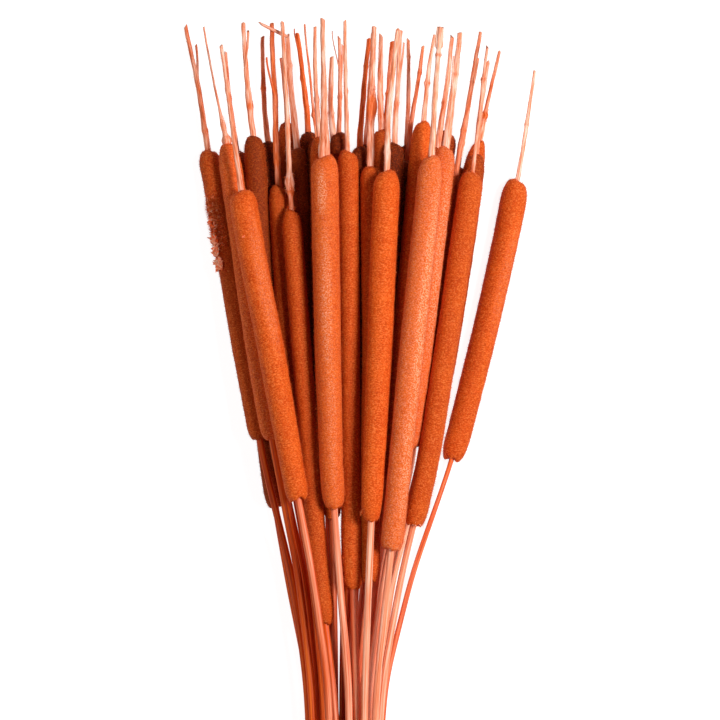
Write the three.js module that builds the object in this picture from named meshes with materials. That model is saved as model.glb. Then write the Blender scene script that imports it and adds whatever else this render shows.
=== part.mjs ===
// A bunch of dried, dyed narrow-leaf cattails that lies loose on a flat surface.
// Millimetres, +Z up. The cut ends are towards -Y and the bare tips towards +Y.
// Each cattail grew as one piece, so it is one solid: stalk, seed head and bare tip.
// The solids stay plain and stand for size, place, weight and contact.

import * as THREE from "three";

// ---- Driving dimensions ----

const SIDES = 8; // sides of every section, one of them flat on the surface
const FLAT_TO_RADIUS = Math.cos(Math.PI / SIDES);

const CUT_RADIUS = 2.8; // stalk at its cut end
const NECK_RADIUS = 2.1; // stalk where it enters the seed head
const THIN_STALK = 0.72; // share of those two on the one thin-stalked cattail
const TIP_ROOT_RADIUS = 1.7; // bare tip where it leaves the seed head
const TIP_END_RADIUS = 1.0;
const HEAD_ROUNDING = 6; // length of the rounded ends of a seed head
const HEAD_SHOULDER = 0.88; // share of the head's radius left at its rounded ends
const HEAD_TAPER = 0.92; // share of the radius at the foot, where a head is slimmer

const GATHER_Y = 205; // where the stalks were held together, above the cut ends
const GATHER_SQUEEZE = 0.36; // how much nearer the stalks are there than at the head feet
const GATHER_DRIFT = -1; // sideways place of the gathered stalks' middle
const STALK_BOW = 0.24; // how far inwards a stalk bows between its head and that place
const CUT_SPREAD = 0.7; // below that the stalks open again towards their cut ends
const CUT_STEP = 5.5; // steps between uneven cut ends
const CUT_STEPS = 4;

const CLEARANCE = 0.5; // gap kept between neighbours while they settle
const DROP_HEIGHT = 15; // height between layers before they settle

// Planes across the bunch where a cattail can bend. It runs straight between them.
const BEND_PLANES = [0, 110, 205, 275, 345, 415, 485, 555, 625, 705];

const SAMPLE_STEP = 9; // distance between the sections where contact is looked for
const SINKING_ROUNDS = 500;
const SINK_PER_ROUND = 0.36; // at the start, easing off to nothing
const PARTING_ROUNDS = 500; // rounds at the end that only part what touches
const STIFFNESS = 0.3; // how strongly a stem straightens in each round
const HOLD_TOP = 0.5; // how strongly a held or top cattail keeps to its planned route
const HOLD_BELOW = 0.2; // how strongly the others keep to it
const TOP_LAYER = 4;

// ---- The cattails, from left to right ----
// tip, top and foot are [x, distance above the cut ends] of the bare tip's end and of
// the seed head's two ends. A higher layer lies on top of a lower one. gather is where a
// stalk lies across the gathered stalks, for those on top. held marks others that keep to
// their plan as firmly as those on top do.

const CATTAILS = [
  { tip: [-101, 698], top: [-86, 617], foot: [-51, 431], radius: 7.0, layer: 2, held: true },
  { tip: [-89, 697], top: [-73, 621], foot: [-44, 431], radius: 7.2, layer: 3, held: true },
  { tip: [-75, 681], top: [-67, 616], foot: [-45, 387], radius: 6.5, layer: 0 },
  { tip: [-77, 684], top: [-65, 590], foot: [-26, 392], radius: 9.0, layer: 5, gather: -6 },
  { tip: [-64, 699], top: [-56, 626], foot: [-33, 412], radius: 6.8, layer: 2 },
  { tip: [-50, 691], top: [-45, 623], foot: [-27, 406], radius: 6.5, layer: 1 },
  { tip: [-45, 699], top: [-40, 594], foot: [-25, 406], radius: 6.5, layer: 3 },
  { tip: [-40, 677], top: [-36, 635], foot: [-19, 412], radius: 6.4, layer: 1 },
  { tip: [-38, 699], top: [-33, 578], foot: [-11, 312], radius: 6.5, layer: 4, gather: 0 },
  { tip: [-35, 691], top: [-27, 618], foot: [-15, 406], radius: 6.3, layer: 2 },
  { tip: [-29, 693], top: [-23, 629], foot: [-13, 412], radius: 6.3, layer: 0 },
  { tip: [-24, 698], top: [-17, 624], foot: [-10, 393], radius: 6.3, layer: 0 },
  { tip: [-17, 696], top: [-14, 625], foot: [-9, 380], radius: 6.3, layer: 2 },
  { tip: [-12, 700], top: [-11, 612], foot: [-5.5, 387], radius: 8.7, layer: 5, gather: 7 },
  { tip: [-6, 678], top: [-5, 620], foot: [2, 393], radius: 6.3, layer: 0 },
  { tip: [-1, 690], top: [-1, 628], foot: [5, 386], radius: 6.3, layer: 1 },
  { tip: [2, 700], top: [4, 616], foot: [8, 335], radius: 6.6, layer: 4, gather: 10 },
  { tip: [18, 689], top: [10, 619], foot: [13, 406], radius: 6.2, layer: 1 },
  { tip: [21, 696], top: [18, 606], foot: [22, 340], radius: 6.3, layer: 3 },
  { tip: [22, 694], top: [22, 621], foot: [24, 393], radius: 6.2, layer: 0 },
  { tip: [25, 691], top: [26, 630], foot: [27, 406], radius: 6.2, layer: 0 },
  { tip: [32, 688], top: [28, 621], foot: [26, 412], radius: 6.2, layer: 0 },
  { tip: [36, 694], top: [29, 603], foot: [20, 379], radius: 8.3, layer: 5, gather: 14 },
  { tip: [38, 694], top: [34, 621], foot: [28, 399], radius: 6.2, layer: 1 },
  { tip: [41, 689], top: [37, 621], foot: [30, 393], radius: 6.2, layer: 0 },
  { tip: [53, 684], top: [41, 610], foot: [31, 393], radius: 6.2, layer: 1 },
  { tip: [60, 691], top: [52, 635], foot: [27, 406], radius: 6.3, layer: 2 },
  { tip: [63, 695], top: [58, 612], foot: [31, 361], radius: 8.0, layer: 5, gather: 20 },
  { tip: [71, 691], top: [62, 618], foot: [39, 412], radius: 6.5, layer: 1 },
  { tip: [76, 692], top: [67, 618], foot: [44, 426], radius: 6.8, layer: 3, held: true },
  { tip: [77, 689], top: [70, 629], foot: [46, 431], radius: 6.2, layer: 0 },
  { tip: [90, 693], top: [73, 600], foot: [46, 426], radius: 6.3, layer: 2 },
  { tip: [88, 677], top: [76, 607], foot: [50, 440], radius: 6.2, layer: 0 },
  { tip: [92, 674], top: [83, 614], foot: [53, 440], radius: 6.4, layer: 1 },
  { tip: [93, 683], top: [84, 602], foot: [44, 376], radius: 7.6, layer: 4, gather: 22 },
  { tip: [102, 681], top: [88, 623], foot: [52, 445], radius: 6.8, layer: 0, held: true },
  { tip: [123, 669], top: [114, 598], foot: [71, 417], radius: 8.3, layer: 4, gather: 23, thin: true },
];

// ---- Shape of one cattail ----

// Radius of a cattail at each distance above the cut ends, from its cut end up.
function sectionRadii(cattail) {
  const [, footY] = cattail.foot;
  const [, topY] = cattail.top;
  const shoulder = cattail.radius * HEAD_SHOULDER;
  const stalk = cattail.thin ? THIN_STALK : 1;
  return [
    [cattail.cutY, CUT_RADIUS * stalk],
    [footY, NECK_RADIUS * stalk],
    [footY + HEAD_ROUNDING, shoulder * HEAD_TAPER],
    [footY + 3 * HEAD_ROUNDING, cattail.radius * HEAD_TAPER],
    [topY - 2 * HEAD_ROUNDING, cattail.radius],
    [topY - HEAD_ROUNDING / 2, shoulder],
    [topY, TIP_ROOT_RADIUS],
    [cattail.tip[1], TIP_END_RADIUS],
  ];
}

// Value at y on straight lines between [y, value] points.
function straightAlong(points, y) {
  const last = points.length - 1;
  if (y <= points[0][0]) return points[0][1];
  if (y >= points[last][0]) return points[last][1];
  const next = points.findIndex(([at]) => at >= y);
  const [y0, v0] = points[next - 1];
  const [y1, v1] = points[next];
  return v0 + ((v1 - v0) * (y - y0)) / (y1 - y0);
}

// Value at y on a smooth curve through [y, value] points, with the slope at each
// point taken from its neighbours.
function smoothAlong(points, y) {
  const last = points.length - 1;
  const slope = (i) => {
    const [ya, va] = points[Math.max(i - 1, 0)];
    const [yb, vb] = points[Math.min(i + 1, last)];
    return (vb - va) / (yb - ya);
  };
  const next = Math.min(Math.max(points.findIndex(([at]) => at >= y), 1), last);
  const to = y > points[last][0] ? last : next;
  const [y0, v0] = points[to - 1];
  const [y1, v1] = points[to];
  const span = y1 - y0;
  const t = (y - y0) / span;
  const curve = (1 + 2 * t) * (1 - t) ** 2 * v0 + t * t * (3 - 2 * t) * v1;
  const lean = t * (1 - t) ** 2 * slope(to - 1) - t * t * (1 - t) * slope(to);
  return curve + span * lean;
}

// Where each cattail would run, seen from above, if nothing were in its way.
function plannedRoute(cattail) {
  const gatherX = cattail.gather ?? GATHER_DRIFT + GATHER_SQUEEZE * cattail.foot[0];
  const cutX = GATHER_DRIFT + CUT_SPREAD * cattail.foot[0];
  const [footX, footY] = cattail.foot;
  const bowX = (gatherX + footX) / 2 - STALK_BOW * (footX - gatherX);
  const marks = [[0, cutX], [GATHER_Y, gatherX], [(GATHER_Y + footY) / 2, bowX]];
  for (const [x, y] of [cattail.foot, cattail.top, cattail.tip]) marks.push([y, x]);
  return BEND_PLANES.map((y) => smoothAlong(marks, y));
}

// ---- Settling: the pile sinks until its cattails rest on each other ----

function contactSections(cattails) {
  const sections = [];
  const lastY = BEND_PLANES[BEND_PLANES.length - 1];
  for (let y = 0; y <= lastY; y += SAMPLE_STEP) {
    const upper = Math.max(BEND_PLANES.findIndex((at) => at >= y), 1);
    const span = BEND_PLANES[upper] - BEND_PLANES[upper - 1];
    const share = (y - BEND_PLANES[upper - 1]) / span;
    const present = [];
    for (const cattail of cattails) {
      const reach = [y - SAMPLE_STEP / 2, y, y + SAMPLE_STEP / 2];
      const inside = reach.some((at) => at >= cattail.cutY && at <= cattail.tip[1]);
      const radii = reach.map((at) => straightAlong(cattail.radii, at));
      if (inside) present.push({ cattail, radius: Math.max(...radii) });
    }
    sections.push({ lower: upper - 1, upper, share, present });
  }
  return sections;
}

// Moves the cattail's section by (dx, dz), shared between the two planes beside it.
function nudge(cattail, section, dx, dz) {
  const { lower, upper, share } = section;
  const total = share ** 2 + (1 - share) ** 2;
  cattail.x[lower] += (dx * (1 - share)) / total;
  cattail.x[upper] += (dx * share) / total;
  cattail.z[lower] += (dz * (1 - share)) / total;
  cattail.z[upper] += (dz * share) / total;
}

function sectionCentre(cattail, section) {
  const { lower, upper, share } = section;
  const x = cattail.x[lower] * (1 - share) + cattail.x[upper] * share;
  const z = cattail.z[lower] * (1 - share) + cattail.z[upper] * share;
  return { x, z };
}

// Parts every pair that is closer than its radii and the clearance, and lifts what is
// below the surface.
function partTouching(sections) {
  for (const section of sections) {
    const { present } = section;
    for (let i = 0; i < present.length; i += 1) {
      for (let j = i + 1; j < present.length; j += 1) {
        const a = sectionCentre(present[i].cattail, section);
        const b = sectionCentre(present[j].cattail, section);
        const dx = b.x - a.x;
        const dz = b.z - a.z;
        const apart = Math.hypot(dx, dz);
        const missing = present[i].radius + present[j].radius + CLEARANCE - apart;
        if (missing > 0 && apart > 0) {
          const push = missing / (2 * apart);
          nudge(present[i].cattail, section, -dx * push, -dz * push);
          nudge(present[j].cattail, section, dx * push, dz * push);
        }
      }
    }
    for (const { cattail, radius } of present) {
      const sunk = radius * FLAT_TO_RADIUS - sectionCentre(cattail, section).z;
      if (sunk > 0) nudge(cattail, section, 0, sunk);
    }
  }
}

// Draws each inner plane's value towards the straight line between its neighbours, and
// the last one, at the bare tip, towards the line through the two before it.
function straighten(values) {
  const last = values.length - 1;
  for (let i = 1; i < last; i += 1) {
    const share =
      (BEND_PLANES[i] - BEND_PLANES[i - 1]) / (BEND_PLANES[i + 1] - BEND_PLANES[i - 1]);
    const straight = values[i - 1] * (1 - share) + values[i + 1] * share;
    values[i] += (straight - values[i]) * STIFFNESS;
  }
  const reach = BEND_PLANES[last] - BEND_PLANES[last - 1];
  const before = BEND_PLANES[last - 1] - BEND_PLANES[last - 2];
  const onward = values[last - 1] + ((values[last - 1] - values[last - 2]) * reach) / before;
  values[last] += (onward - values[last]) * STIFFNESS;
}

function settle(cattails) {
  const sections = contactSections(cattails);
  for (let round = 0; round < SINKING_ROUNDS; round += 1) {
    const sink = SINK_PER_ROUND * (1 - round / SINKING_ROUNDS);
    for (const cattail of cattails) {
      const firm = cattail.held || cattail.layer >= TOP_LAYER;
      const hold = firm ? HOLD_TOP : HOLD_BELOW;
      const strays = cattail.x.map((x, i) => (x - cattail.route[i]) * (1 - hold));
      straighten(strays);
      cattail.x = cattail.route.map((x, i) => x + strays[i]);
      cattail.z = cattail.z.map((z) => z - sink);
      straighten(cattail.z);
    }
    partTouching(sections);
  }
  for (let round = 0; round < PARTING_ROUNDS; round += 1) partTouching(sections);
}

// ---- The solids ----

function centreAt(cattail, y) {
  const along = (values) => straightAlong(BEND_PLANES.map((at, i) => [at, values[i]]), y);
  return { x: along(cattail.x), z: along(cattail.z) };
}

// A turned profile whose sections are then moved onto the cattail's settled route.
function cattailGeometry(cattail) {
  const ends = [cattail.cutY, cattail.tip[1]];
  const planes = BEND_PLANES.filter((y) => y > ends[0] + 2 && y < ends[1] - 2);
  const marks = cattail.radii.map(([y]) => y);
  const clear = planes.filter((y) => marks.every((at) => Math.abs(at - y) > 3));
  const levels = [...clear, ...marks].sort((a, b) => a - b);
  const outline = levels.map((y) => new THREE.Vector2(straightAlong(cattail.radii, y), y));
  const profile = [new THREE.Vector2(0, ends[0]), ...outline, new THREE.Vector2(0, ends[1])];
  const geometry = new THREE.LatheGeometry(profile, SIDES, Math.PI / SIDES);
  const position = geometry.getAttribute("position");
  for (let i = 0; i < position.count; i += 1) {
    const centre = centreAt(cattail, position.getY(i));
    position.setX(i, position.getX(i) + centre.x);
    position.setZ(i, position.getZ(i) + centre.z);
  }
  return geometry;
}

function cattailMesh(cattail, index) {
  const material = new THREE.MeshStandardMaterial({
    color: "#e2551b",
    roughness: 0.95,
    metalness: 0,
  });
  const mesh = new THREE.Mesh(cattailGeometry(cattail), material);
  mesh.name = `cattail_${String(index + 1).padStart(2, "0")}`;
  return mesh;
}

function buildBunch() {
  const cattails = CATTAILS.map((row, index) => ({
    ...row,
    cutY: ((index * 3) % CUT_STEPS) * CUT_STEP,
  }));
  cattails.forEach((cattail, index) => {
    cattail.radii = sectionRadii(cattail);
    cattail.route = plannedRoute(cattail);
    cattail.x = [...cattail.route];
    const drop = (cattail.layer + 1 + (index % 3) / 3) * DROP_HEIGHT;
    cattail.z = BEND_PLANES.map(() => drop);
  });
  settle(cattails);

  const bunch = new THREE.Group();
  cattails.forEach((cattail, index) => bunch.add(cattailMesh(cattail, index)));
  const box = new THREE.Box3().setFromObject(bunch);
  const middle = box.getCenter(new THREE.Vector3());
  bunch.position.set(-middle.x, -middle.y, -box.min.z);
  return bunch;
}

export default buildBunch();
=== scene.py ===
"""A loose bunch of dried cattails, dyed orange, lying on a pale floor and seen from above.

Each cattail follows the route of its CAD solid and is finished in three pieces: a ribbed
stalk, a felt-like seed head and the bare tip above it. A few also carry loose bristles.
Lengths are in metres unless a comment says millimetres, and the tables' keys are the
cattails' numbers, from left to right.
"""

import math

import bpy
import numpy as np
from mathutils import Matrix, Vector


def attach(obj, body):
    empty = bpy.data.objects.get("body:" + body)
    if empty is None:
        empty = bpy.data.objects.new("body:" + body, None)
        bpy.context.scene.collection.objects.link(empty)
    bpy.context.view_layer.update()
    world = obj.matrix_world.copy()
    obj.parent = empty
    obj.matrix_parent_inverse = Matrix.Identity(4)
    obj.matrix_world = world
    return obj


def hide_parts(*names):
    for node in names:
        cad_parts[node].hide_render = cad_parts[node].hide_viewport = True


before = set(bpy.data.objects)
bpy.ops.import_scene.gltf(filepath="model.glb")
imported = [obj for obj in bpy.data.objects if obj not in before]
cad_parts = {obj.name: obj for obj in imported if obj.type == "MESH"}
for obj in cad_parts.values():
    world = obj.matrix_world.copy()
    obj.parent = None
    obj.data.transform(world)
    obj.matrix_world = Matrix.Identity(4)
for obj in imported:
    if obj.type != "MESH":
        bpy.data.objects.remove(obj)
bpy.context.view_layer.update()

MM = 0.001
BODY = "root"
NODES = sorted(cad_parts)

# ---- Driving sizes ----

CAD_SIDES = 8  # the CAD sections are octagons, one flat on the floor
ROUTE_STEP = 1 * MM
ROUTE_SOFTNESS = 13 * MM  # how far the bends of the CAD route are rounded
THICK_STEM = 3.6 * MM  # a section wider than this belongs to the seed head

HEAD_AROUND = 56
HEAD_STEP = 1.3 * MM
STALK_AROUND = 22
STALK_STEP = 6 * MM
TIP_AROUND = 12
TIP_STEP = 1.6 * MM

SPACE_PER_STEM = 0.9  # offset between neighbouring stems' patterns, so none repeats
FIT = 1.02  # share of the CAD octagon's radius that the round shapes take

VIEW_MIDDLE = 0.1324  # where along Y the view is centred
VIEW_WIDTH = 0.461  # width of the view at the height of the pile's middle
PILE_MIDDLE = 0.035  # height of the pile's middle, as the view takes it

# Tone of each cattail: head, stalk and bare tip, from -1 (deep) to 1 (pale). Part of it is
# dye that differs from stem to stem, part is painted light: the heads lower in the pile are
# made deep as painted shade, the stalks on the left deeper as painted shade, and the stalks
# on the right paler as painted light.
TONES_AND_PAINTED_SHADE = {
    1: (-0.35, -0.1, 0.4), 2: (0.1, -0.25, 0.6), 3: (-0.7, -0.2, 0.3), 4: (-0.02, 0.25, 0.6),
    5: (-0.8, -0.25, 0.6), 6: (-1.0, -0.3, 0.35), 7: (-0.3, -0.25, 0.1), 8: (-0.6, -0.2, 0.4),
    9: (-0.3, 0.2, 0.75), 10: (-0.8, -0.2, 0.65), 11: (-1.0, -0.2, -0.1), 12: (-0.95, -0.1, 0.3),
    13: (-0.3, 0.3, 0.6), 14: (0.12, 0.6, 0.55), 15: (-0.95, 0.0, 0.85), 16: (-0.95, 0.0, 0.45),
    17: (-0.2, 0.3, 0.8), 18: (-0.95, 0.3, -0.1), 19: (-0.3, 0.3, 0.75), 20: (-1.0, 0.4, 0.8),
    21: (-0.55, 0.5, 0.75), 22: (-1.0, 0.3, 0.2), 23: (0.0, 1.0, 0.85), 24: (-1.0, 0.4, 0.7),
    25: (-1.0, 0.4, 0.7), 26: (-0.8, 0.4, 0.3), 27: (-0.1, 0.5, 0.7), 28: (0.3, 0.9, 0.95),
    29: (-0.5, 0.8, 0.6), 30: (0.3, 0.8, 0.75), 31: (-0.6, 0.8, 0.6), 32: (-0.7, 0.8, 0.35),
    33: (-0.7, 0.8, 0.8), 34: (-0.6, 0.8, 0.5), 35: (-0.2, 0.9, 0.5), 36: (-0.15, 0.8, 0.35),
    37: (-0.08, 0.2, 0.95),
}

# ---- Small helpers ----


def linear(code):
    """An sRGB hex colour as linear red, green, blue and alpha."""
    values = [int(code[i:i + 2], 16) / 255 for i in (1, 3, 5)]
    return [v / 12.92 if v <= 0.04045 else ((v + 0.055) / 1.055) ** 2.4 for v in values] + [1]


def add_node(tree, kind, inputs=None, **settings):
    """A node with its settings, and its inputs set to a value or linked to a socket."""
    made = tree.nodes.new(kind)
    for name, value in settings.items():
        setattr(made, name, value)
    for key, value in (inputs or {}).items():
        if isinstance(value, bpy.types.NodeSocket):
            tree.links.new(value, made.inputs[key])
        else:
            made.inputs[key].default_value = value
    return made


def ease(share):
    """0 to 1, starting and ending gently."""
    share = np.clip(share, 0, 1)
    return share * share * (3 - 2 * share)


def stem_random(index, use):
    """The random numbers for one use on one stem, the same in every run."""
    return np.random.default_rng(1000 * use + index)


# ---- Routes ----


def cad_sections(node):
    """[y, x, z, radius] of each section of a CAD cattail, from its cut end to its tip."""
    corners = np.array([v.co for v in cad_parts[node].data.vertices])
    flat = math.cos(math.pi / CAD_SIDES)
    sections = []
    for y in np.unique(corners[:, 1].round(5)):
        ring = corners[np.abs(corners[:, 1] - y) < 0.02 * MM]
        low, high = ring.min(0), ring.max(0)
        middle = (low + high) / 2
        sections.append([y, middle[0], middle[2], (high[0] - low[0]) / 2 / flat])
    return np.array(sections)


def soften(values, steps):
    """A running average with a bell-shaped weight that keeps both ends where they are."""
    reach = 3 * steps
    before = 2 * values[0] - values[reach:0:-1]
    after = 2 * values[-1] - values[-2:-reach - 2:-1]
    padded = np.concatenate([before, values, after])
    weight = np.exp(-0.5 * (np.arange(-reach, reach + 1) / steps) ** 2)
    return np.convolve(padded, weight / weight.sum(), mode="valid")


def make_route(y, x, z):
    """Points along a stem with their slopes, for place() to read."""
    return {"y": y, "x": x, "z": z, "dx": np.gradient(x, y), "dz": np.gradient(z, y)}


def place(route, along, turn, wide, thick):
    """Points round a route: turn is the angle from +X over +Z, wide and thick the reach."""
    x, z, dx, dz = [np.interp(along, route["y"], route[k]) for k in ("x", "z", "dx", "dz")]
    ends = [np.clip(along - route["y"][0], None, 0), np.clip(along - route["y"][-1], 0, None)]
    x = x + ends[0] * route["dx"][0] + ends[1] * route["dx"][-1]
    z = z + ends[0] * route["dz"][0] + ends[1] * route["dz"][-1]
    centre = np.stack([x, along, z], -1)
    forward = np.stack([dx, np.ones_like(dx), dz], -1)
    forward /= np.linalg.norm(forward, axis=-1, keepdims=True)
    side = np.stack([forward[..., 1], -forward[..., 0], np.zeros_like(dx)], -1)
    side /= np.linalg.norm(side, axis=-1, keepdims=True)
    up = np.cross(side, forward)
    reach = side * (wide * np.cos(turn))[..., None] + up * (thick * np.sin(turn))[..., None]
    return centre + reach


def read_cattail(index, node):
    """Route and landmarks of one cattail, from its CAD solid."""
    sections = cad_sections(node)
    y = np.arange(sections[0, 0], sections[-1, 0] + ROUTE_STEP / 2, ROUTE_STEP)
    soft = round(ROUTE_SOFTNESS / ROUTE_STEP)
    x = soften(np.interp(y, sections[:, 0], sections[:, 1]), soft)
    z = soften(np.interp(y, sections[:, 0], sections[:, 2]), soft)
    thick = np.flatnonzero(sections[:, 3] > THICK_STEM)
    return {
        "index": index,
        "node": node,
        "route": make_route(y, x, z),
        "cut": sections[0, 0],
        "foot": sections[thick[0] - 1, 0],
        "top": sections[thick[-1] + 1, 0],
        "tip": sections[-1, 0],
        "cut_radius": sections[0, 3],
        "neck_radius": sections[thick[0] - 1, 3],
        "head_along": sections[thick, 0],
        "head_radius": sections[thick, 3],
    }


# ---- Meshes grown along a route ----


def grid_mesh(name, cattail, parts, attributes=()):
    """A mesh of tubes, each closed by a face at both ends.

    A part holds its route, then along, turn, wide and thick as rows of points round the
    stem, and the values of any extra attributes. Its first end_rows rows are a cut face
    and get the second material.
    """
    points, faces, slots, spaces = [], [], [], []
    extra = {key: [] for key in attributes}
    count = 0
    for part in parts:
        along, turn, wide, thick = part["along"], part["turn"], part["wide"], part["thick"]
        rows, around = along.shape
        points.append(place(part["route"], along, turn, wide, thick).reshape(-1, 3))
        shift = cattail["index"] * SPACE_PER_STEM
        space = [wide * np.cos(turn), along + shift, thick * np.sin(turn)]
        spaces.append(np.stack(space, -1).reshape(-1, 3))
        for key in attributes:
            extra[key].append(part.get(key, np.zeros_like(along)).reshape(-1))
        row, column = np.meshgrid(np.arange(rows - 1), np.arange(around), indexing="ij")
        here = count + row * around + column
        beside = count + row * around + (column + 1) % around
        quads = np.stack([here, here + around, beside + around, beside], -1).reshape(-1, 4)
        faces += quads.tolist()
        faces.append(list(range(count, count + around)))
        faces.append(list(range(count + (rows - 1) * around, count + rows * around))[::-1])
        first_rows = part.get("end_rows", 0) * around
        slots += [1] * first_rows + [0] * (len(quads) - first_rows)
        slots += [1 if first_rows else 0, 0]
        count += rows * around
    mesh = bpy.data.meshes.new(name)
    mesh.from_pydata(np.concatenate(points).tolist(), [], faces)
    mesh.polygons.foreach_set("material_index", slots)
    mesh.polygons.foreach_set("use_smooth", [True] * len(faces))
    mesh.attributes.new("stem_space", "FLOAT_VECTOR", "POINT").data.foreach_set(
        "vector", np.concatenate(spaces).ravel())
    for key in attributes:
        values = np.concatenate(extra[key])
        mesh.attributes.new(key, "FLOAT", "POINT").data.foreach_set("value", values)
    return mesh


def rows_and_turns(along, around):
    """Full grids of the distance along the stem and of the angle round it."""
    turn = np.arange(around) * 2 * math.pi / around - math.pi / 2
    return np.meshgrid(along, turn, indexing="ij")


# ---- Seed heads ----

# How a head ends, where it isn't left to chance: share of the radius at its foot rim,
# length of the rounding there, depth of the notches in the rim, then the share and the
# length at the top. Lengths are in mm.
HEAD_ENDS = {
    1: (0.55, 11, 2.0, 0.40, 9),
    2: (0.50, 12, 2.0, 0.42, 20),
    4: (0.62, 10, 4.5, 0.42, 9),
    9: (0.45, 16, 3.5, 0.34, 13),
    14: (0.50, 15, 3.0, 0.44, 11),
    17: (0.50, 12, 3.0, 0.36, 8),
    19: (0.55, 12, 3.0, 0.38, 9),
    23: (0.45, 21, 2.5, 0.32, 12),
    28: (0.66, 9, 3.5, 0.36, 14),
    35: (0.60, 12, 4.0, 0.36, 10),
    36: (0.50, 12, 3.0, 0.30, 28),
    37: (0.50, 15, 4.5, 0.36, 14),
}

# How thick the lower part of a head is, as a share of the usual.
FOOT_GIRTH = {4: 0.88, 9: 1.12, 14: 0.92, 17: 1.15, 23: 0.88}

# How much higher the right shoulder is than the middle, in mm, where it isn't left to chance.
UNEVEN_SHOULDERS = {14: 1.3, 4: 0.6, 23: 0.8, 37: -0.8, 28: 0.8}

# Where the felt is torn open: from and to, in mm below the top of the head, the middle
# angle and half width in degrees (0 is the right, 90 the top), and how badly.
TORN_PLACES = {
    1: [(26, 76, 168, 46, 1.0), (26, 62, 110, 36, 0.5)],
    23: [(214, 221, 160, 24, 0.6)],
}

# Where the felt is paler, in the same way, on top of the tone of the whole head: partly
# rubbed wear, partly a painted highlight on the upper right flanks that face the light.
RUBBED_AND_HIGHLIGHT_PLACES = {
    4: [(0, 120, 60, 45, 0.3)],
    14: [(3, 42, 104, 28, 0.75), (30, 150, 92, 32, 0.5), (100, 230, 80, 30, 0.25)],
    28: [(-10, 200, 36, 60, 0.75), (120, 250, 50, 50, 0.45)],
    30: [(-10, 150, 40, 60, 0.5)],
    37: [(10, 120, 50, 50, 0.25)],
}


def rounded_end(distance, share, length):
    """Share of the full radius at a distance from a rounded end."""
    inward = 1 - np.clip(distance / length, 0, 1)
    return share + (1 - share) * np.sqrt(1 - inward ** 2)


def marked(cattail, along, turn, places, sharpness):
    """0 where the felt is sound, up to the given amount inside each place."""
    amount_here = np.zeros_like(along)
    below_top = (cattail["top"] - along) / MM
    degrees = np.degrees(turn)
    for start, end, angle, half, amount in places.get(cattail["index"], []):
        middle, reach = (start + end) / 2, (end - start) / 2
        away = np.abs((degrees - angle + 180) % 360 - 180) / half
        edge = 1 - np.hypot((below_top - middle) / reach, away)
        amount_here = np.maximum(amount_here, amount * ease(edge * sharpness))
    return amount_here


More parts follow.
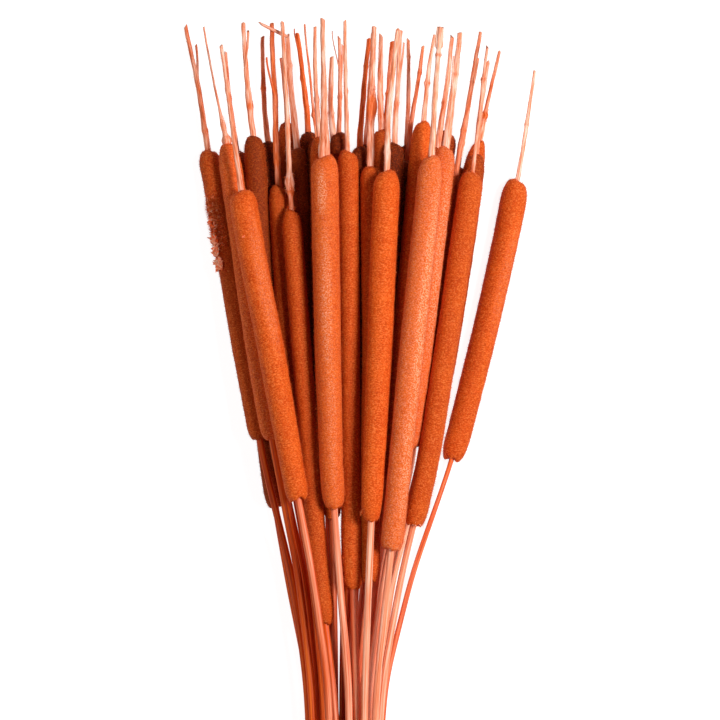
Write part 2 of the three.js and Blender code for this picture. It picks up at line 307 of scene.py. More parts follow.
def seed_head(cattail, materials, tree):
    """The packed, felt-like seed head round the stem, with its fuzz."""
    random = stem_random(cattail["index"], 1)
    foot, top = cattail["foot"], cattail["top"]
    chance = (random.uniform(0.45, 0.62), random.uniform(10, 16), random.uniform(1.5, 3.5),
              random.uniform(0.33, 0.42), random.uniform(8, 14))
    rim, rim_length, notch, crown, crown_length = HEAD_ENDS.get(cattail["index"], chance)

    # Rows lie closer together where the ends round off.
    near = np.array([0, 0.25, 0.6, 1.1, 1.8, 2.8, 4.0]) * MM
    body = np.arange(foot + 5 * MM, top - 5 * MM, HEAD_STEP)
    outside = np.concatenate([foot + near, body, (top - near)[::-1]])
    along, turn = rows_and_turns(outside, HEAD_AROUND)

    girth = np.interp(along, cattail["head_along"][1:-1], cattail["head_radius"][1:-1])
    girth = girth * rounded_end(along - foot, rim, rim_length * MM)
    girth = girth * rounded_end(top - along, crown, crown_length * MM)
    phase = random.uniform(0, 2 * math.pi, 4)
    swell = 0.012 * np.sin(along / (31 * MM) + phase[0]) + 0.008 * np.sin(
        along / (11 * MM) + turn + phase[1])
    oval = 0.02 * np.cos(2 * turn + phase[2])
    lower = ease((foot + top - 2 * along) / (top - foot))
    foot_girth = 1 + (FOOT_GIRTH.get(cattail["index"], 1.0) - 1) * lower
    girth = girth * (FIT + swell + oval) * foot_girth

    # The shoulders are uneven, and the rim is drawn up in a few places round the stalk.
    slope = UNEVEN_SHOULDERS.get(cattail["index"], random.uniform(-1.2, 1.2)) * MM
    along = along + slope * np.cos(turn) * np.exp(-(top - along) / (9 * MM))
    lobes = 0.5 + 0.3 * np.sin(2 * turn + phase[0]) + 0.2 * np.sin(5 * turn + phase[3])
    along = along + 0.6 * notch * MM * lobes * np.exp(-(along - foot) / (5 * MM))

    # Both ends turn in to the stem, so the head is one closed shell. Each row of a cup is
    # its share of the cup's depth and of the way out to the rim.
    cup = [(0.3, 0.2), (0.75, 0.8), (1.0, 0.96)]
    inner = cattail["neck_radius"] * 0.8
    low = [along[0] + 1.6 * MM * (1 - depth) for depth, _ in cup]
    high = [along[-1] + 0.8 * MM * (1 - depth) for depth, _ in cup[::-1]]
    low_girth = [inner + (girth[0] - inner) * out for _, out in cup]
    high_girth = [inner + (girth[-1] - inner) * out for _, out in cup[::-1]]
    along = np.vstack([*low, along, *high])
    girth = np.vstack([*low_girth, girth, *high_girth])
    turn = np.broadcast_to(turn[0], along.shape)

    # The head's tone holds painted shade on heads lower in the pile; the pale places add wear and
    # painted highlight.
    paleness = TONES_AND_PAINTED_SHADE[cattail["index"]][0] + marked(cattail, along, turn, RUBBED_AND_HIGHLIGHT_PLACES, 1.6)
    shell = {"along": along, "turn": turn, "wide": girth, "thick": girth,
             "route": cattail["route"], "paleness": paleness,
             "torn": marked(cattail, along, turn, TORN_PLACES, 2.5)}
    name = f"seed_head_{cattail['index']:02d}"
    head = bpy.data.objects.new(name, grid_mesh(name, cattail, [shell], ["torn", "paleness"]))
    head.data.materials.append(materials["felt"])
    bpy.context.collection.objects.link(head)
    grow(head, tree, {
        "Lumps per metre": 1 / (9 * MM),
        "Lump height": 0.5 * MM,
        "Grains per metre": 1 / (2.2 * MM),
        "Grain height": 0.34 * MM,
        "Tear height": 4.5 * MM,
        "Fibres per square metre": 0.6 / MM ** 2,
        "Fibre length": 0.8 * MM,
        "Fibre width": 0.075 * MM,
        "Seed": cattail["index"],
        "Fibre material": materials["bristle"],
    })
    finish_piece(head, cattail)


# ---- Stalks ----


def stalk(cattail, materials):
    """The round stalk, finely ribbed, with its slanted cut end."""
    random = stem_random(cattail["index"], 2)
    cut, foot = cattail["cut"], cattail["foot"]
    ends = np.array([0, 0.5, 1.5]) * MM
    body = np.arange(cut + 4 * MM, foot + 8 * MM, STALK_STEP)
    along, turn = rows_and_turns(np.concatenate([cut + ends, body, [foot + 9 * MM]]), STALK_AROUND)
    girth = np.interp(along, [cut, foot], [cattail["cut_radius"], cattail["neck_radius"]])
    phase = random.uniform(0, 2 * math.pi, 4)
    twist = 2.2 * (along - cut)
    ribs = 0.022 * np.cos(11 * (turn + twist)) * (1 + 0.5 * np.sin(along / (40 * MM)))
    oval = 0.045 * np.cos(2 * (turn + twist) + phase[0])
    waver = 0.03 * np.sin(along / (23 * MM) + phase[1]) + 0.02 * np.sin(along / (9 * MM) + phase[2])
    girth = girth * (FIT + ribs + oval + waver)
    slant = math.tan(math.radians(random.uniform(4, 24)))
    tilt = slant * girth * (1 + np.cos(turn + phase[3]))
    along = along + tilt * np.exp(-(along - cut) / (3 * MM))

    # The cut face: a raised skin round a sunk pith, as depth in mm and share of the radius.
    face = [(0.385, 0.25), (0.35, 0.8), (0.07, 0.93)]
    along = np.vstack([*[cut + tilt[0] * out + depth * MM for depth, out in face], along])
    girth = np.vstack([*[girth[0] * out for _, out in face], girth])
    turn = np.broadcast_to(turn[0], along.shape)
    # The stalk's tone is partly dye, partly painted light: deeper on the left stalks as painted
    # shade, paler on the right ones as painted light.
    tube = {"along": along, "turn": turn, "wide": girth, "thick": girth,
            "route": cattail["route"], "end_rows": 2,
            "paleness": TONES_AND_PAINTED_SHADE[cattail["index"]][1] + 0 * along}
    name = f"stalk_{cattail['index']:02d}"
    piece = bpy.data.objects.new(name, grid_mesh(name, cattail, [tube], ["paleness"]))
    piece.data.materials.append(materials["stalk"])
    piece.data.materials.append(materials["pith"])
    bpy.context.collection.objects.link(piece)
    finish_piece(piece, cattail)


# ---- Bare tips ----

TIP_ROOT = 1.7  # usual radius in mm where the tip leaves the head
TIP_END = 1.05  # and at its end

# Tips that are thinner or thicker than usual: share of the usual radius.
TIP_GIRTH = {1: 1.15, 2: 0.55, 3: 0.75, 4: 0.95, 5: 1.1, 7: 1.1, 9: 1.05, 10: 1.15, 11: 1.1,
             12: 0.6, 14: 1.45, 15: 1.1, 17: 0.95, 18: 1.1, 19: 1.25, 20: 1.25, 21: 1.2, 22: 1.2,
             23: 1.05, 25: 0.95, 26: 0.85, 28: 1.25, 29: 1.1, 30: 1.25, 33: 1.15, 35: 0.75,
             36: 0.95, 37: 0.75}

# Knots and swellings: height above the head, half length and added radius, all in mm, and
# how much deeper they are dyed.
TIP_KNOTS = {
    2: [(12, 6, 0.9, 0), (2.5, 3.2, 2.2, 0)],
    4: [(66, 3, 0.4, 0)],
    5: [(20, 3, 0.6, 0.4), (26, 4, 0.5, 0)],
    9: [(18, 4, 1.5, 0.2), (12, 2, 0.7, 0.5), (5, 8, -0.3, 0.5)],
    10: [(54, 1.5, 0.7, 0)],
    12: [(16, 1.6, 0.8, 0.3)],
    14: [(0, 20, 1.2, 0.1), (64, 12, -0.5, -0.2)],
    19: [(39, 8, 1.3, 1.1)],
    22: [(33, 1.5, 0.9, 0), (16, 14, 0.2, 0.5)],
    27: [(25, 1.6, 0.8, 0.4)],
    28: [(65, 1.2, 0.6, 0.7)],
    35: [(60, 1.6, 0.7, 0.3)],
    36: [(17, 1.8, 1.0, 0.6), (6, 7, 0.6, -0.4)],
}

# Loose strands that leave a tip: height above the head where they leave it and where
# they end, sideways distance reached there, and radius, all in mm.
TIP_STRANDS = {
    1: [(40, 69, 4.2, 0.9)],
    5: [(44, 68, 3.0, 1.0)],
    7: [(52, 83, -4.0, 0.8)],
    8: [(16, 38, 2.4, 0.6)],
    11: [(38, 67, -1.8, 0.5)],
    16: [(34, 67, -4.5, 0.4), (24, 58, 2.0, 0.8)],
    24: [(30, 66, 2.6, 0.7)],
    30: [(26, 60, -2.4, 0.7)],
}

# The tip that is snapped: how far its broken end points sideways and onward, in mm.
SNAPPED_TIP = {10: (-17.3, 7.6)}

# A flat dry leaf left at the end of a tip: start and end above the head and width, in mm.
TIP_LEAVES = {28: [(67, 83, 5.0)]}


def tip_route(cattail):
    """The stem's route with a slight waver of its own above the head."""
    random = stem_random(cattail["index"], 3)
    route, top, tip = cattail["route"], cattail["top"], cattail["tip"]
    y = np.arange(top - 8 * MM, tip + ROUTE_STEP / 2, ROUTE_STEP)
    share = np.clip((y - top) / (tip - top), 0, 1)
    bow, waver = random.uniform(-1.2, 1.2, 2), random.uniform(-0.45, 0.45, 2)
    pace = random.uniform(9, 15) * MM
    shape = share * (1 - share) * 4
    shifts = [shape * (bow[i] + waver[i] * np.sin(y / pace + i)) * MM for i in (0, 1)]
    x = np.interp(y, route["y"], route["x"]) + shifts[0]
    z = np.interp(y, route["y"], route["z"]) + np.abs(shifts[1])
    return make_route(y, x, z)


def strand(route, start, end, radii, flat=1.0, ragged=0.1, seed=0):
    """One closed, slightly ragged strand along part of a route, blunt at its end.

    flat is its thickness as a share of round, and its width grows as that falls.
    """
    random = stem_random(seed, 4)
    body = np.arange(start, end, TIP_STEP)
    along, turn = rows_and_turns(np.concatenate([body, [end - 0.15 * MM, end]]), TIP_AROUND)
    girth = np.interp(along, [start, end], radii)
    phase = random.uniform(0, 2 * math.pi, 5)
    rough = np.sin(along / (2.3 * MM) + turn + phase[0]) + np.sin(
        along / (5.1 * MM) - 2 * turn + phase[1])
    grooves = 0.09 * np.cos(5 * turn + phase[2] + 30 * (along - start))
    girth = girth * (1 + ragged * 0.5 * rough + grooves)
    girth[-1] *= 0.72
    girth[0] *= 0.6
    slant = radii[1] * random.uniform(0.2, 1.4) * np.cos(turn + phase[4])
    along = along + slant * np.exp((along - end) / (1.2 * MM))
    return {"along": along, "turn": turn, "wide": girth * (1.85 - flat), "thick": girth * flat,
            "route": route}


def bare_tip(cattail, materials, tree):
    """The dry axis above the head, with its knots, loose strands and stray hairs."""
    index, top, tip = cattail["index"], cattail["top"], cattail["tip"]
    random = stem_random(index, 5)
    route = tip_route(cattail)
    girth = TIP_GIRTH.get(index, random.uniform(0.8, 1.05)) * MM
    flat = random.uniform(0.65, 0.9)
    main = strand(route, top - 7 * MM, tip, (TIP_ROOT * girth, TIP_END * girth), flat, seed=index)
    main["paleness"] = 0 * main["along"]
    chance = [(random.uniform(10, 60), 1.5, 0.35, 0.2)]
    for height, half, added, deeper in TIP_KNOTS.get(index, chance):
        near = np.exp(-((main["along"] - top - height * MM) / (half * MM)) ** 2)
        bump = added * MM * near * (1 + 0.35 * np.sin(3 * main["turn"] + height))
        main["wide"] = main["wide"] + bump
        main["thick"] = main["thick"] + bump
        main["paleness"] = main["paleness"] - deeper * near
    parts = [main]
    for start, end, sideways, radius in TIP_STRANDS.get(index, []):
        y = np.arange(top + start * MM, top + end * MM, ROUTE_STEP)
        away = ease((y - y[0]) / (y[-1] - y[0])) * sideways * MM
        own = make_route(y, np.interp(y, route["y"], route["x"]) + away,
                         np.interp(y, route["y"], route["z"]) + 0.5 * MM)
        parts.append(strand(own, y[0], y[-1], (radius * MM, radius * 0.75 * MM), 0.8, seed=index))
    if index in SNAPPED_TIP:
        sideways, onward = SNAPPED_TIP[index]
        y = np.linspace(tip - 0.6 * MM, tip + onward * MM, 30)
        bend = (y - y[0]) / (y[-1] - y[0])
        own = make_route(y, route["x"][-1] + bend * sideways * MM, route["z"][-1] + 0 * bend)
        radii = (TIP_END * girth, TIP_END * girth * 0.6)
        parts.append(strand(own, y[0], y[-1], radii, 0.7, seed=index))
    for start, end, width in TIP_LEAVES.get(index, []):
        leaf = strand(route, top + start * MM, top + end * MM, (0.5 * MM, 0.5 * MM), seed=index)
        length = (end - start) * MM
        grown = np.clip((leaf["along"] - top - start * MM) / length, 0, 1)
        leaf["wide"] = leaf["wide"] + width / 2 * MM * ease(grown * 4) * (1 - 0.3 * grown)
        leaf["thick"] = leaf["thick"] * 0.6
        parts.append(leaf)
    for part in parts:
        part["paleness"] = part.get("paleness", 0) + TONES_AND_PAINTED_SHADE[index][2] + 0 * part["along"]
    name = f"bare_tip_{index:02d}"
    piece = bpy.data.objects.new(name, grid_mesh(name, cattail, parts, ["torn", "paleness"]))
    piece.data.materials.append(materials["tip"])
    bpy.context.collection.objects.link(piece)
    grow(piece, tree, {
        "Lumps per metre": 1 / (6 * MM),
        "Lump height": 0.3 * MM,
        "Grains per metre": 1 / (1.5 * MM),
        "Grain height": 0.18 * MM,
        "Tear height": 0.0,
        "Fibres per square metre": 0.22 / MM ** 2,
        "Fibre length": 0.9 * MM,
        "Fibre width": 0.06 * MM,
        "Seed": 100 + index,
        "Fibre material": materials["tip"],
    })
    finish_piece(piece, cattail)


# ---- Curled bristles where the felt has come loose ----

# From and to in mm below the top of the head (above it if negative), the middle angle and
# half width in degrees, how far out from the axis, how many, then their length and radius
# in mm. A radius of over 0.2 mm is a clump of pale shreds, a finer one a single bristle.
CURLS = {
    1: [(26, 62, 112, 36, 6.9, 280, 3.0, 0.19), (28, 62, 118, 36, 7.0, 55, 3.2, 0.32),
        (60, 78, 130, 40, 6.9, 120, 2.6, 0.19), (43, 48, 146, 24, 7.4, 26, 3.6, 0.75),
        (54, 59, 150, 26, 7.8, 44, 3.6, 0.9), (61, 66, 154, 26, 7.9, 44, 3.8, 0.9),
        (69, 76, 150, 28, 7.6, 60, 3.8, 0.85)],
    2: [(-19, -7, 90, 180, 0.9, 40, 2.2, 0.14)],
    4: [(28.4, 29.2, 112, 9, 9.1, 9, 1.6, 0.21), (3, 6, 85, 12, 8.2, 6, 1.5, 0.16)],
    9: [(-24, -12, 110, 180, 1.4, 90, 2.8, 0.22), (-3, 1, 90, 180, 2.2, 60, 2.0, 0.16)],
    14: [(30, 200, 172, 14, 8.6, 130, 1.8, 0.1)],
    19: [(-52, -30, 90, 180, 1.8, 260, 2.4, 0.16)],
    23: [(216, 220, 160, 20, 7.0, 16, 1.8, 0.16)],
    35: [(218, 225, 40, 60, 5.0, 40, 3.0, 0.22)],
    36: [(-22, -12, 90, 180, 1.3, 40, 2.2, 0.16)],
}
CURL_STEPS = 7  # lengths in a curl, and corners round it
CURL_CORNERS = 5
CURL_TAPER = 0.75  # share of its thickness that a curl loses by its end
SHRED_RADIUS = 0.2  # in mm: a curl thicker than this is a pale shred


def turned(vectors, axes, angles):
    """Vectors turned round unit axes by angles."""
    cos, sin = np.cos(angles)[:, None], np.sin(angles)[:, None]
    along = (axes * vectors).sum(-1, keepdims=True)
    return vectors * cos + np.cross(axes, vectors) * sin + axes * along * (1 - cos)


def unit(vectors):
    """Vectors at length one."""
    return vectors / np.linalg.norm(vectors, axis=-1, keepdims=True)


def curl_faces():
    """The faces of one curl: a cap at each end and the sides between."""
    last = CURL_CORNERS * CURL_STEPS
    faces = [list(range(CURL_CORNERS))[::-1], list(range(last, last + CURL_CORNERS))]
    for row in range(0, last, CURL_CORNERS):
        for corner in range(CURL_CORNERS):
            here, beside = row + corner, row + (corner + 1) % CURL_CORNERS
            faces.append([here, beside, beside + CURL_CORNERS, here + CURL_CORNERS])
    return faces


def curls(cattail, materials):
    """Loose curled bristles and shreds, each a thin closed strand."""
    random = stem_random(cattail["index"], 6)
    route = cattail["route"]
    points, faces, spaces, slots = [], [], [], []
    one_curl = curl_faces()
    curl_points = CURL_CORNERS * (CURL_STEPS + 1)
    corner_angles = np.arange(CURL_CORNERS) * 2 * math.pi / CURL_CORNERS
    count = 0
    for start, end, angle, half, out, number, length, radius in CURLS[cattail["index"]]:
        along = cattail["top"] - random.uniform(start, end, number) * MM
        turn = np.radians(angle + half * random.uniform(-1, 1, number))
        spot = place(route, along, turn, out * MM + 0 * along, out * MM + 0 * along)
        outward = unit(spot - place(route, along, turn, 0 * along, 0 * along))
        heading = unit(outward * 0.7 + random.normal(0, 0.6, (number, 3)))
        axes = unit(random.normal(0, 1, (number, 3)))
        bend = random.uniform(0.1, 0.5, number)
        step = random.uniform(0.4, 1.0, number)[:, None] * length * MM / CURL_STEPS
        rings = []
        for k in range(CURL_STEPS + 1):
            side = unit(np.cross(heading, axes))
            up = np.cross(heading, side)
            thick = radius * MM * (1 - CURL_TAPER * k / CURL_STEPS)
            rings += [spot + thick * (side * math.cos(a) + up * math.sin(a))
                      for a in corner_angles]
            spot = spot + heading * step
            heading = turned(heading, axes, bend)
        points.append(np.stack(rings, 1).reshape(-1, 3))
        spaces.append(np.repeat(random.uniform(0, 1, (number, 3)), curl_points, 0))
        for _ in range(number):
            faces += [[count + v for v in face] for face in one_curl]
            count += curl_points
        slots += [int(radius > SHRED_RADIUS)] * (number * len(one_curl))
    name = f"loose_bristles_{cattail['index']:02d}"
    mesh = bpy.data.meshes.new(name)
    mesh.from_pydata(np.concatenate(points).tolist(), [], faces)
    mesh.attributes.new("stem_space", "FLOAT_VECTOR", "POINT").data.foreach_set(
        "vector", np.concatenate(spaces).ravel())
    mesh.materials.append(materials["bristle"])
    mesh.materials.append(materials["shreds"])
    mesh.polygons.foreach_set("material_index", slots)
    piece = bpy.data.objects.new(name, mesh)
    bpy.context.collection.objects.link(piece)
    finish_piece(piece, cattail)


# ---- Surface relief and fibres, by Geometry Nodes ----


def felt_tree():
    """Raises lumps, grain and tears on a surface and plants short fibres on it."""
    tree = bpy.data.node_groups.new("Felt relief and fibres", "GeometryNodeTree")
    tree.interface.new_socket("Geometry", in_out="INPUT", socket_type="NodeSocketGeometry")
    for name in ("Lumps per metre", "Lump height", "Grains per metre", "Grain height",
                 "Tear height", "Fibres per square metre", "Fibre length", "Fibre width"):
        tree.interface.new_socket(name, in_out="INPUT", socket_type="NodeSocketFloat")
    tree.interface.new_socket("Seed", in_out="INPUT", socket_type="NodeSocketInt")
    tree.interface.new_socket("Fibre material", in_out="INPUT", socket_type="NodeSocketMaterial")
    tree.interface.new_socket("Geometry", in_out="OUTPUT", socket_type="NodeSocketGeometry")
    given = add_node(tree, "NodeGroupInput").outputs
    space = add_node(tree, "GeometryNodeInputNamedAttribute", {"Name": "stem_space"},
                     data_type="FLOAT_VECTOR").outputs["Attribute"]
    torn = add_node(tree, "GeometryNodeInputNamedAttribute", {"Name": "torn"},
                    data_type="FLOAT").outputs["Attribute"]
    normal = add_node(tree, "GeometryNodeInputNormal").outputs["Normal"]

    # Relief: each noise is centred on nought and scaled to its height.
    heights = []
    for scale, height, detail in (("Lumps per metre", "Lump height", 1.0),
                                  ("Grains per metre", "Grain height", 2.0)):
        bumps = add_node(tree, "ShaderNodeTexNoise",
                         {"Vector": space, "Scale": given[scale], "Detail": detail})
        centred = add_node(tree, "ShaderNodeMath", {0: bumps.outputs[0], 1: 0.5},
                           operation="SUBTRACT")
        heights.append(add_node(tree, "ShaderNodeMath", {0: centred.outputs[0], 1: given[height]},
                                operation="MULTIPLY").outputs[0])
    shreds = add_node(tree, "ShaderNodeTexNoise", {"Vector": space, "Scale": 1 / (4.5 * MM),
                                                   "Detail": 3.0, "Distortion": 1.5})
    raised = add_node(tree, "ShaderNodeMath", {0: shreds.outputs[0], 1: 0.5}, operation="SUBTRACT")
    torn_height = add_node(tree, "ShaderNodeMath", {0: torn, 1: given["Tear height"]},
                           operation="MULTIPLY")
    heights.append(add_node(tree, "ShaderNodeMath",
                            {0: raised.outputs[0], 1: torn_height.outputs[0]},
                            operation="MULTIPLY").outputs[0])
    total = add_node(tree, "ShaderNodeMath", {0: heights[0], 1: heights[1]}, operation="ADD")
    total = add_node(tree, "ShaderNodeMath", {0: total.outputs[0], 1: heights[2]}, operation="ADD")
    offset = add_node(tree, "ShaderNodeVectorMath", {0: normal, "Scale": total.outputs[0]},
                      operation="SCALE")
    relief = add_node(tree, "GeometryNodeSetPosition",
                      {"Geometry": given["Geometry"], "Offset": offset.outputs[0]})

    # Fibres: denser and longer where the felt is torn, leaning every way round the normal.
    # They are wider than real hairs, so that they show.
    more = add_node(tree, "ShaderNodeMath", {0: torn, 1: 2.5, 2: 1.0}, operation="MULTIPLY_ADD")
    density = add_node(tree, "ShaderNodeMath",
                       {0: given["Fibres per square metre"], 1: more.outputs[0]},
                       operation="MULTIPLY")
    scatter = add_node(tree, "GeometryNodeDistributePointsOnFaces",
                       {"Mesh": relief.outputs[0], "Density": density.outputs[0],
                        "Seed": given["Seed"]}, distribute_method="RANDOM")
    lean = add_node(tree, "FunctionNodeRandomValue",
                    {"Min": (-0.8, -0.6, -0.8), "Max": (0.8, 1.0, 0.8), "Seed": given["Seed"]},
                    data_type="FLOAT_VECTOR")
    aim = add_node(tree, "ShaderNodeVectorMath",
                   {0: scatter.outputs["Normal"], 1: lean.outputs["Value"]}, operation="ADD")
    facing = add_node(tree, "FunctionNodeAlignRotationToVector", {"Vector": aim.outputs[0]},
                      axis="Z")
    fibre = add_node(tree, "GeometryNodeMeshCone",
                     {"Vertices": 3, "Side Segments": 1, "Radius Top": 0.0,
                      "Radius Bottom": given["Fibre width"], "Depth": given["Fibre length"]},
                     fill_type="NONE")
    longer = add_node(tree, "ShaderNodeMath", {0: torn, 1: 1.8, 2: 0.5}, operation="MULTIPLY_ADD")
    stretch = add_node(tree, "FunctionNodeRandomValue",
                       {2: 0.4, 3: 1.5, "Seed": given["Seed"]}, data_type="FLOAT")
    length = add_node(tree, "ShaderNodeMath", {0: longer.outputs[0], 1: stretch.outputs[1]},
                      operation="ADD")
    size = add_node(tree, "ShaderNodeCombineXYZ", {"X": 1.0, "Y": 1.0, "Z": length.outputs[0]})
    planted = add_node(tree, "GeometryNodeInstanceOnPoints",
                       {"Points": scatter.outputs["Points"], "Instance": fibre.outputs["Mesh"],
                        "Rotation": facing.outputs[0], "Scale": size.outputs[0]})
    realized = add_node(tree, "GeometryNodeRealizeInstances", {"Geometry": planted.outputs[0]})
    dressed = add_node(tree, "GeometryNodeSetMaterial",
                       {"Geometry": realized.outputs[0], "Material": given["Fibre material"]})
    joined = add_node(tree, "GeometryNodeJoinGeometry")
    tree.links.new(dressed.outputs[0], joined.inputs[0])
    tree.links.new(relief.outputs[0], joined.inputs[0])
    add_node(tree, "NodeGroupOutput", {"Geometry": joined.outputs[0]})
    return tree


def grow(piece, tree, sizes):
    """Runs a tree on a piece with these inputs and keeps the result as a plain mesh."""
    modifier = piece.modifiers.new("growth", "NODES")
    modifier.node_group = tree
    for item in tree.interface.items_tree:
        if item.in_out == "INPUT" and item.name in sizes:
            modifier[item.identifier] = sizes[item.name]
    graph = bpy.context.evaluated_depsgraph_get()
    grown = bpy.data.meshes.new_from_object(
        piece.evaluated_get(graph), preserve_all_data_layers=True, depsgraph=graph)
    piece.modifiers.clear()
    piece.data = grown


def finish_piece(piece, cattail):
    """Ties a finished piece to the body and hides the solid it stands for."""
    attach(piece, BODY)
    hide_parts(cattail["node"])


# ---- Materials ----


def new_material(name):
    """An empty node material with its shader, ready for its pattern."""
    material = bpy.data.materials.new(name)
    material.use_nodes = True
    return material, material.node_tree, material.node_tree.nodes["Principled BSDF"]


def pattern(tree, across, along, detail=2.0, roughness=0.5):
    """Noise that follows the stem, with its grain's size across and along it, in metres."""
    space = add_node(tree, "ShaderNodeAttribute", attribute_name="stem_space")
    scaled = add_node(tree, "ShaderNodeMapping", {
        "Vector": space.outputs["Vector"], "Scale": (1 / across, 1 / along, 1 / across)})
    found = add_node(tree, "ShaderNodeTexNoise", {
        "Vector": scaled.outputs[0], "Scale": 1.0, "Detail": detail, "Roughness": roughness})
    return found.outputs[0]


def ramp(tree, value, stops):
    """A colour from a value, through (place, hex colour) stops."""
    found = add_node(tree, "ShaderNodeValToRGB", {"Fac": value})
    elements = found.color_ramp.elements
    for i, (at, code) in enumerate(stops):
        element = elements[i] if i < 2 else elements.new(at)
        element.position = at
        element.color = linear(code)
    return found.outputs["Color"]


def felt_material():
    """Packed seed bristles, dyed: matt and speckled, with a nap that softens every edge, and with
    painted shade and painted highlight mixed in by the paleness.
    """
    material, tree, shader = new_material("dyed_seed_felt")
    # Bristle ends are taken as about 0.1 mm across, too fine to show, so the grain is drawn
    # at about 1 mm. The bands are faint rings round the head.
    grain = pattern(tree, 1.3 * MM, 0.7 * MM, 2.0, 0.7)
    speckle = pattern(tree, 0.8 * MM, 0.8 * MM, 2.0, 0.7)
    bands = pattern(tree, 14 * MM, 1.3 * MM, 2.0)
    patches = pattern(tree, 9 * MM, 16 * MM, 2.0)
    broad = add_node(tree, "ShaderNodeMix", {
        0: 0.4, 6: ramp(tree, patches, [(0.32, "#C84000"), (0.68, "#F26A16")]),
        7: ramp(tree, bands, [(0.35, "#BC3C00"), (0.65, "#F06C1E")])}, data_type="RGBA")
    sound = add_node(tree, "ShaderNodeMix", {
        0: 0.62, 6: broad.outputs[2],
        7: ramp(tree, grain, [(0.35, "#B83600"), (0.65, "#FE8E46"), (0.50, "#E45208")])},
        data_type="RGBA")
    # Where the paleness falls below nought the deep colour comes in: deeper dye, and painted shade
    # on the heads lower in the pile. Where it rises above nought the pale grain comes in: rubbed
    # wear, and painted highlight on the flanks that face the light.
    worn_and_highlight_grain = ramp(tree, speckle, [(0.40, "#E2560E"), (0.61, "#FFBC98"), (0.50, "#F07A38")])
    deep = ramp(tree, grain, [(0.36, "#481200"), (0.64, "#8C3200"), (0.50, "#682000")])
    paleness = add_node(tree, "ShaderNodeAttribute", attribute_name="paleness")
    depth = add_node(tree, "ShaderNodeMath", {0: paleness.outputs["Fac"], 1: -1.0},
                     operation="MULTIPLY")
    deepened = add_node(tree, "ShaderNodeMix", {
        0: depth.outputs[0], 6: sound.outputs[2], 7: deep}, data_type="RGBA")
    paled = add_node(tree, "ShaderNodeMix", {
        0: paleness.outputs["Fac"], 6: deepened.outputs[2], 7: worn_and_highlight_grain}, data_type="RGBA")
    torn = add_node(tree, "ShaderNodeAttribute", attribute_name="torn")
    shreds = pattern(tree, 2.4 * MM, 2.4 * MM, 4.0, 0.7)
    pale = ramp(tree, shreds, [(0.38, "#8E2E04"), (0.62, "#F6A070"), (0.5, "#D45A18")])
    mixed = add_node(tree, "ShaderNodeMix", {
        0: torn.outputs["Fac"], 6: paled.outputs[2], 7: pale}, data_type="RGBA")
    tree.links.new(mixed.outputs[2], shader.inputs["Base Color"])
    nap = pattern(tree, 0.9 * MM, 0.9 * MM, 3.0, 0.7)
    bump = add_node(tree, "ShaderNodeBump", {
        "Height": nap, "Strength": 0.9, "Distance": 0.7 * MM})
    tree.links.new(bump.outputs[0], shader.inputs["Normal"])
    shader.inputs["Roughness"].default_value = 0.6
    shader.inputs["Specular IOR Level"].default_value = 0.14
    shader.inputs["Sheen Weight"].default_value = 0.04
    shader.inputs["Sheen Roughness"].default_value = 0.5
    shader.inputs["Sheen Tint"].default_value = linear("#FFB08A")
    return material


def bristle_material():
    """Single dyed bristles: dry hairs, a little paler than the felt that they stand on."""
    material, tree, shader = new_material("dyed_seed_bristles")
    tint = pattern(tree, 0.7 * MM, 0.7 * MM, 1.0)
    colour = ramp(tree, tint, [(0.36, "#B23400"), (0.64, "#F68C50"), (0.52, "#E45004")])
    tree.links.new(colour, shader.inputs["Base Color"])
    shader.inputs["Roughness"].default_value = 0.8
    shader.inputs["Specular IOR Level"].default_value = 0.2
    shader.inputs["Sheen Weight"].default_value = 0.1
    shader.inputs["Sheen Tint"].default_value = linear("#FFB890")
    return material


def shreds_material():
    """The paler inner felt where it has burst out: loose and matt."""
    material, tree, shader = new_material("loose_pale_shreds")
    tint = pattern(tree, 0.7 * MM, 0.7 * MM, 1.0)
    colour = ramp(tree, tint, [(0.36, "#FF6C2C"), (0.62, "#FFC8AA"), (0.48, "#FF9464")])
    tree.links.new(colour, shader.inputs["Base Color"])
    shader.inputs["Roughness"].default_value = 0.9
    shader.inputs["Specular IOR Level"].default_value = 0.1
    return material


def stem_colour(tree, grain, drift, deep_stops, pale_stops):
    """Colour from deep to pale by the stem's paleness and a slow drift: dye, and on stalks also
    painted light and shade.
    """
    paleness = add_node(tree, "ShaderNodeAttribute", attribute_name="paleness")
    shift = add_node(tree, "ShaderNodeMath", {0: drift, 1: 1.4, 2: -0.7}, operation="MULTIPLY_ADD")
    share = add_node(tree, "ShaderNodeMath", {0: paleness.outputs["Fac"], 1: shift.outputs[0]},
                     operation="ADD")
    mixed = add_node(tree, "ShaderNodeMix", {
        0: share.outputs[0], 6: ramp(tree, grain, deep_stops), 7: ramp(tree, grain, pale_stops)},
        data_type="RGBA")
    return mixed.outputs[2]


def stalk_material():
    """A dried rush-like stalk, dyed: a thin waxy skin over long fibres, so satin and streaky."""
    material, tree, shader = new_material("dyed_dry_stalk")
    # Fibres under the skin are taken as 0.3 mm apart and drawn at 0.9 mm so that they show.
    streaks = pattern(tree, 0.9 * MM, 70 * MM, 3.0, 0.65)
    drift = pattern(tree, 3.5 * MM, 60 * MM, 2.0)
    colour = stem_colour(tree, streaks, drift,
                         [(0.36, "#B43600"), (0.64, "#F26E20"), (0.5, "#E04E04")],
                         [(0.36, "#E87444"), (0.62, "#FFC8AC"), (0.5, "#F89F7A")])
    tree.links.new(colour, shader.inputs["Base Color"])
    bump = add_node(tree, "ShaderNodeBump", {
        "Height": streaks, "Strength": 0.4, "Distance": 0.2 * MM})
    tree.links.new(bump.outputs[0], shader.inputs["Normal"])
    shader.inputs["Roughness"].default_value = 0.42
    shader.inputs["Specular IOR Level"].default_value = 0.3
    return material


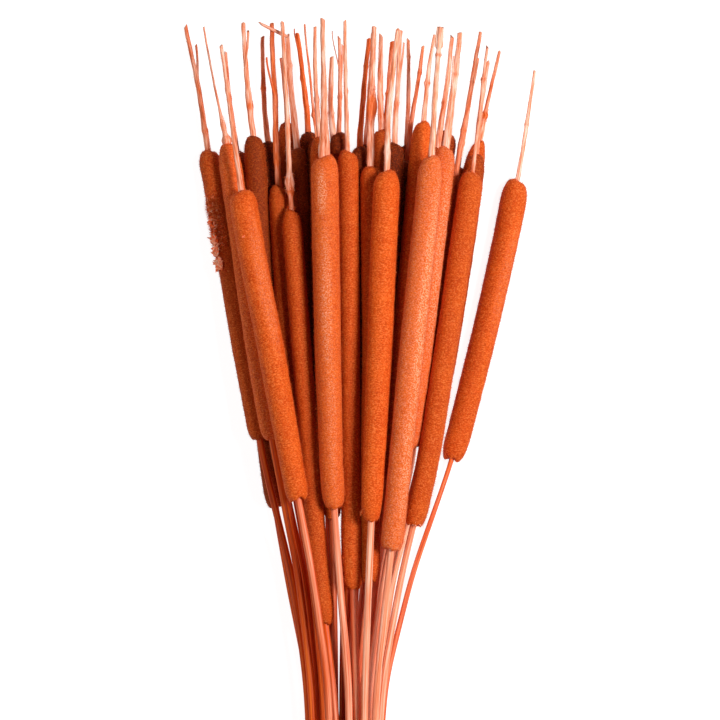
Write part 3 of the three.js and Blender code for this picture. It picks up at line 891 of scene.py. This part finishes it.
def tip_material():
    """The stripped flower axis, dyed: dry fibrous straw, duller and rougher than the stalk."""
    material, tree, shader = new_material("dyed_bare_axis")
    # Its fibres are taken as 0.2 mm apart and drawn at 1.1 mm so that they show.
    streaks = pattern(tree, 1.1 * MM, 16 * MM, 3.0, 0.7)
    drift = pattern(tree, 2.0 * MM, 12 * MM, 2.0)
    colour = stem_colour(tree, streaks, drift,
                         [(0.36, "#B44206"), (0.64, "#F08048"), (0.5, "#DC5A18")],
                         [(0.36, "#EC7C48"), (0.62, "#FFD8C4"), (0.5, "#FAB292")])
    tree.links.new(colour, shader.inputs["Base Color"])
    bump = add_node(tree, "ShaderNodeBump", {
        "Height": streaks, "Strength": 0.6, "Distance": 0.3 * MM})
    tree.links.new(bump.outputs[0], shader.inputs["Normal"])
    shader.inputs["Roughness"].default_value = 0.7
    shader.inputs["Specular IOR Level"].default_value = 0.3
    return material


def pith_material():
    """The cut end: spongy dry pith, open pores in a pale ground."""
    material, tree, shader = new_material("dry_pith")
    # Its pores are taken as 0.3 mm across and drawn at 0.8 mm so that they show.
    space = add_node(tree, "ShaderNodeAttribute", attribute_name="stem_space")
    pores = add_node(tree, "ShaderNodeTexVoronoi", {
        "Vector": space.outputs["Vector"], "Scale": 1 / (0.8 * MM)})
    colour = ramp(tree, pores.outputs["Distance"], [
        (0.1, "#8E3A14"), (0.6, "#F0B990"), (0.35, "#DE8A58")])
    tree.links.new(colour, shader.inputs["Base Color"])
    shader.inputs["Roughness"].default_value = 0.95
    return material


def floor_material():
    """Smooth white paper under the bunch, a little self-lit so that it stays clean white."""
    material, _, shader = new_material("white_floor")
    shader.inputs["Base Color"].default_value = linear("#8C8C8C")
    shader.inputs["Roughness"].default_value = 0.9
    shader.inputs["Emission Color"].default_value = (1, 1, 1, 1)
    shader.inputs["Emission Strength"].default_value = 0.92
    return material


# ---- Stage: floor, lights and camera ----


def make_stage():
    """A wide white floor."""
    half = 3.0
    mesh = bpy.data.meshes.new("floor")
    mesh.from_pydata([(-half, -half, 0), (half, -half, 0), (half, half, 0), (-half, half, 0)],
                     [], [(0, 1, 2, 3)])
    floor = bpy.data.objects.new("floor", mesh)
    mesh.materials.append(floor_material())
    bpy.context.collection.objects.link(floor)
    floor.location.z = -0.2 * MM
    floor.visible_glossy = False


def add_light(name, at, target, size, power, colour="#FFFFFF"):
    """A square area light at a point, facing another."""
    light = bpy.data.lights.new(name, "AREA")
    light.shape = "SQUARE"
    light.size = size
    light.energy = power
    light.color = linear(colour)[:3]
    lamp = bpy.data.objects.new(name, light)
    lamp.location = at
    lamp.rotation_euler = (Vector(target) - Vector(at)).to_track_quat("-Z", "Y").to_euler()
    bpy.context.collection.objects.link(lamp)
    return lamp


def light_and_camera():
    """Soft light from the upper right, a weak fill from the left, and a long lens above."""
    middle = (0.0, 0.13, 0.03)  # of the pile, which both lamps face
    add_light("key", (1.05, 0.35, 1.62), middle, 0.6, 43)
    fill = add_light("fill", (-1.25, 0.10, 1.15), middle, 1.3, 7)
    fill.visible_glossy = False
    world = bpy.data.worlds.new("studio")
    world.use_nodes = True
    world.node_tree.nodes["Background"].inputs["Color"].default_value = linear("#FFFFFF")
    world.node_tree.nodes["Background"].inputs["Strength"].default_value = 0.1
    bpy.context.scene.world = world
    bpy.context.scene.view_settings.view_transform = "Standard"

    lens = bpy.data.cameras.new("camera")
    lens.lens = 300
    lens.sensor_width = 36
    camera = bpy.data.objects.new("camera", lens)
    away = VIEW_WIDTH * lens.lens / lens.sensor_width
    camera.location = (0.0, VIEW_MIDDLE, PILE_MIDDLE + away)
    bpy.context.collection.objects.link(camera)
    bpy.context.scene.camera = camera


# ---- Build ----

make_stage()
light_and_camera()
finishes = {
    "felt": felt_material(),
    "bristle": bristle_material(),
    "shreds": shreds_material(),
    "stalk": stalk_material(),
    "tip": tip_material(),
    "pith": pith_material(),
}
growth = felt_tree()
for number, node_name in enumerate(NODES, start=1):
    stem = read_cattail(number, node_name)
    stalk(stem, finishes)
    seed_head(stem, finishes, growth)
    bare_tip(stem, finishes, growth)
    if number in CURLS:
        curls(stem, finishes)
